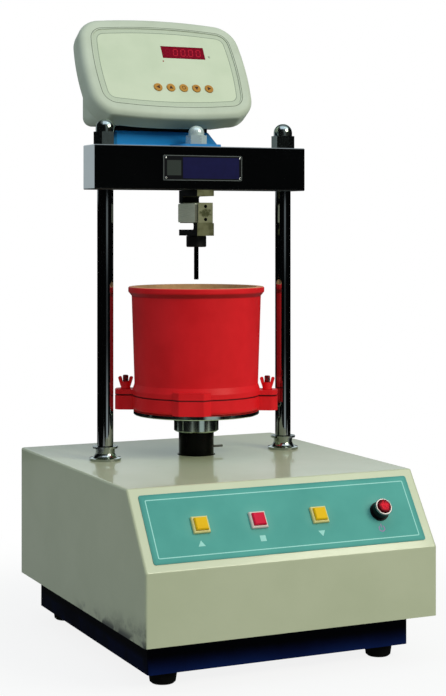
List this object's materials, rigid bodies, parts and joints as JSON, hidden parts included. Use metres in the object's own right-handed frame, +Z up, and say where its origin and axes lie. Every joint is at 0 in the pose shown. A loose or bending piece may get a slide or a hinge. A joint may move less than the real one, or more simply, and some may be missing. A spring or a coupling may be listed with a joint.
{
  "type": "concrete penetrometer",
  "caption": "Bench penetrometer for setting concrete: a screw-driven ram lifts a mortar mould towards a needle under a load cell on a column frame, with a leaning indicator on top.",
  "frame": {"origin": "on the ground, under the middle of the cabinet", "axes": "+Z up, +X to the right seen from the front, the sloping control panel faces -Y"},
  "size_m": [0.381, 0.45, 0.8077],
  "materials": {
    "cream_paint": "gloss powder coat on folded sheet",
    "navy_paint": "dark navy paint",
    "red_paint": "gloss red paint on a casting",
    "blue_paint": "blue paint",
    "chrome_plate": "hard chrome",
    "dark_chrome": "ground and hard chromed",
    "nickel": "nickel plated",
    "plain_steel": "turned or milled",
    "black_steel": "blackened",
    "grey_iron": "bare casting",
    "bronze": "turned bronze",
    "bare_aluminium": "satin",
    "indigo_plate": "anodised, bare of words",
    "panel_film": "teal overlay film",
    "yellow_plastic": "moulded",
    "red_plastic": "moulded",
    "pale_plastic": "moulded",
    "black_plastic": "moulded",
    "indicator_plastic": "fine grained moulding",
    "label_film": "overlay film",
    "display_red": "dark red filter",
    "orange_rubber": "soft keys",
    "circuit_board": "laminate",
    "black_rubber": "moulded rubber"
  },
  "bodies": {
    "base": {"back_panel": "cream_paint", "base_pan": "navy_paint", "base_plate": "plain_steel", "button_bezels": "pale_plastic", "button_lock_nuts": "plain_steel", "cabinet_cover": "cream_paint", "cell_covers": "bare_aluminium", "centre_dome_nut": "chrome_plate", "column_collars": "chrome_plate", "column_dome_nuts": "chrome_plate", "column_foot_nuts": "plain_steel", "control_box": "black_plastic", "control_panel": "panel_film", "crosshead": "chrome_plate", "display_board": "circuit_board", "display_window": "display_red", "drive_belt": "black_rubber", "gearmotor": "bare_aluminium", "guide_bush": "bronze", "guide_housing": "grey_iron", "hanger_stud": "plain_steel", "indicator_bezel": "indicator_plastic", "indicator_bracket": "blue_paint", "indicator_feet": "black_rubber", "indicator_label": "label_film", "indicator_rear_shell": "indicator_plastic", "left_column": "chrome_plate", "load_cell": "nickel", "nameplate": "indigo_plate", "needle": "chrome_plate", "needle_chuck": "black_steel", "power_housing": "black_plastic", "power_inlet": "black_plastic", "power_ring": "chrome_plate", "right_column": "chrome_plate", "rubber_feet": "black_rubber", "thrust_bearing": "plain_steel"},
    "lift": {"platen": "chrome_plate", "ram_collar": "chrome_plate", "ram": "dark_chrome", "ram_pin": "plain_steel", "ram_nut": "bronze", "mould_base": "red_paint", "mould_cup": "red_paint", "mould_studs": "plain_steel"},
    "screw": {"lead_screw": "plain_steel", "driven_pulley": "plain_steel"},
    "motor_rotor": {"motor_pulley": "plain_steel"},
    "up_button": {"up_button": "yellow_plastic"},
    "stop_button": {"stop_button": "red_plastic"},
    "down_button": {"down_button": "yellow_plastic"},
    "power_button": {"power_button": "red_plastic"},
    "key_1": {"key_1": "orange_rubber"},
    "key_2": {"key_2": "orange_rubber"},
    "key_3": {"key_3": "orange_rubber"},
    "key_4": {"key_4": "orange_rubber"},
    "key_5": {"key_5": "orange_rubber"},
    "wing_nut_left": {"wing_nut_left": "red_paint"},
    "wing_nut_right": {"wing_nut_right": "red_paint"}
  },
  "joints": [
    {"name": "screw_spin", "type": "hinge", "parent": "base", "child": "screw", "pos_m": [0, 0.065, 0.1], "axis": [0, 0, 1], "range_deg": [-500, 3595]},
    {"name": "ram_lift", "type": "slide", "parent": "base", "child": "lift", "axis": [0, 0, 1], "range_m": [-0.007, 0.05]},
    {"name": "motor_spin", "type": "hinge", "parent": "base", "child": "motor_rotor", "pos_m": [0, -0.07, 0.06], "axis": [0, 0, 1], "range_deg": [-1005, 7200]},
    {"name": "up_press", "type": "slide", "parent": "base", "child": "up_button", "axis": [0, 0.8201, -0.5722], "range_m": [0, 0.003], "stiffness_N_per_m": 400, "springref_m": -0.002},
    {"name": "stop_press", "type": "slide", "parent": "base", "child": "stop_button", "axis": [0, 0.8201, -0.5722], "range_m": [0, 0.003], "stiffness_N_per_m": 400, "springref_m": -0.002},
    {"name": "down_press", "type": "slide", "parent": "base", "child": "down_button", "axis": [0, 0.8201, -0.5722], "range_m": [0, 0.003], "stiffness_N_per_m": 400, "springref_m": -0.002},
    {"name": "power_press", "type": "slide", "parent": "base", "child": "power_button", "axis": [0, 0.8201, -0.5722], "range_m": [0, 0.003], "stiffness_N_per_m": 400, "springref_m": -0.002},
    {"name": "key_1_press", "type": "slide", "parent": "base", "child": "key_1", "axis": [0, 0.866, -0.5], "range_m": [0, 0.0006], "stiffness_N_per_m": 1000, "springref_m": -0.0005},
    {"name": "key_2_press", "type": "slide", "parent": "base", "child": "key_2", "axis": [0, 0.866, -0.5], "range_m": [0, 0.0006], "stiffness_N_per_m": 1000, "springref_m": -0.0005},
    {"name": "key_3_press", "type": "slide", "parent": "base", "child": "key_3", "axis": [0, 0.866, -0.5], "range_m": [0, 0.0006], "stiffness_N_per_m": 1000, "springref_m": -0.0005},
    {"name": "key_4_press", "type": "slide", "parent": "base", "child": "key_4", "axis": [0, 0.866, -0.5], "range_m": [0, 0.0006], "stiffness_N_per_m": 1000, "springref_m": -0.0005},
    {"name": "key_5_press", "type": "slide", "parent": "base", "child": "key_5", "axis": [0, 0.866, -0.5], "range_m": [0, 0.0006], "stiffness_N_per_m": 1000, "springref_m": -0.0005},
    {"name": "wing_nut_left_turn", "type": "hinge", "parent": "lift", "child": "wing_nut_left", "pos_m": [-0.083, 0.10913, 0.32], "axis": [0, 0, 1], "continuous": true},
    {"name": "wing_nut_right_turn", "type": "hinge", "parent": "lift", "child": "wing_nut_right", "pos_m": [0.083, 0.02087, 0.32], "axis": [0, 0, 1], "continuous": true}
  ],
  "couplings": [
    {"joint": "ram_lift", "follows": "screw_spin", "m_per_rad": 0.00079577},
    {"joint": "motor_spin", "follows": "screw_spin", "ratio": 2}
  ]
}
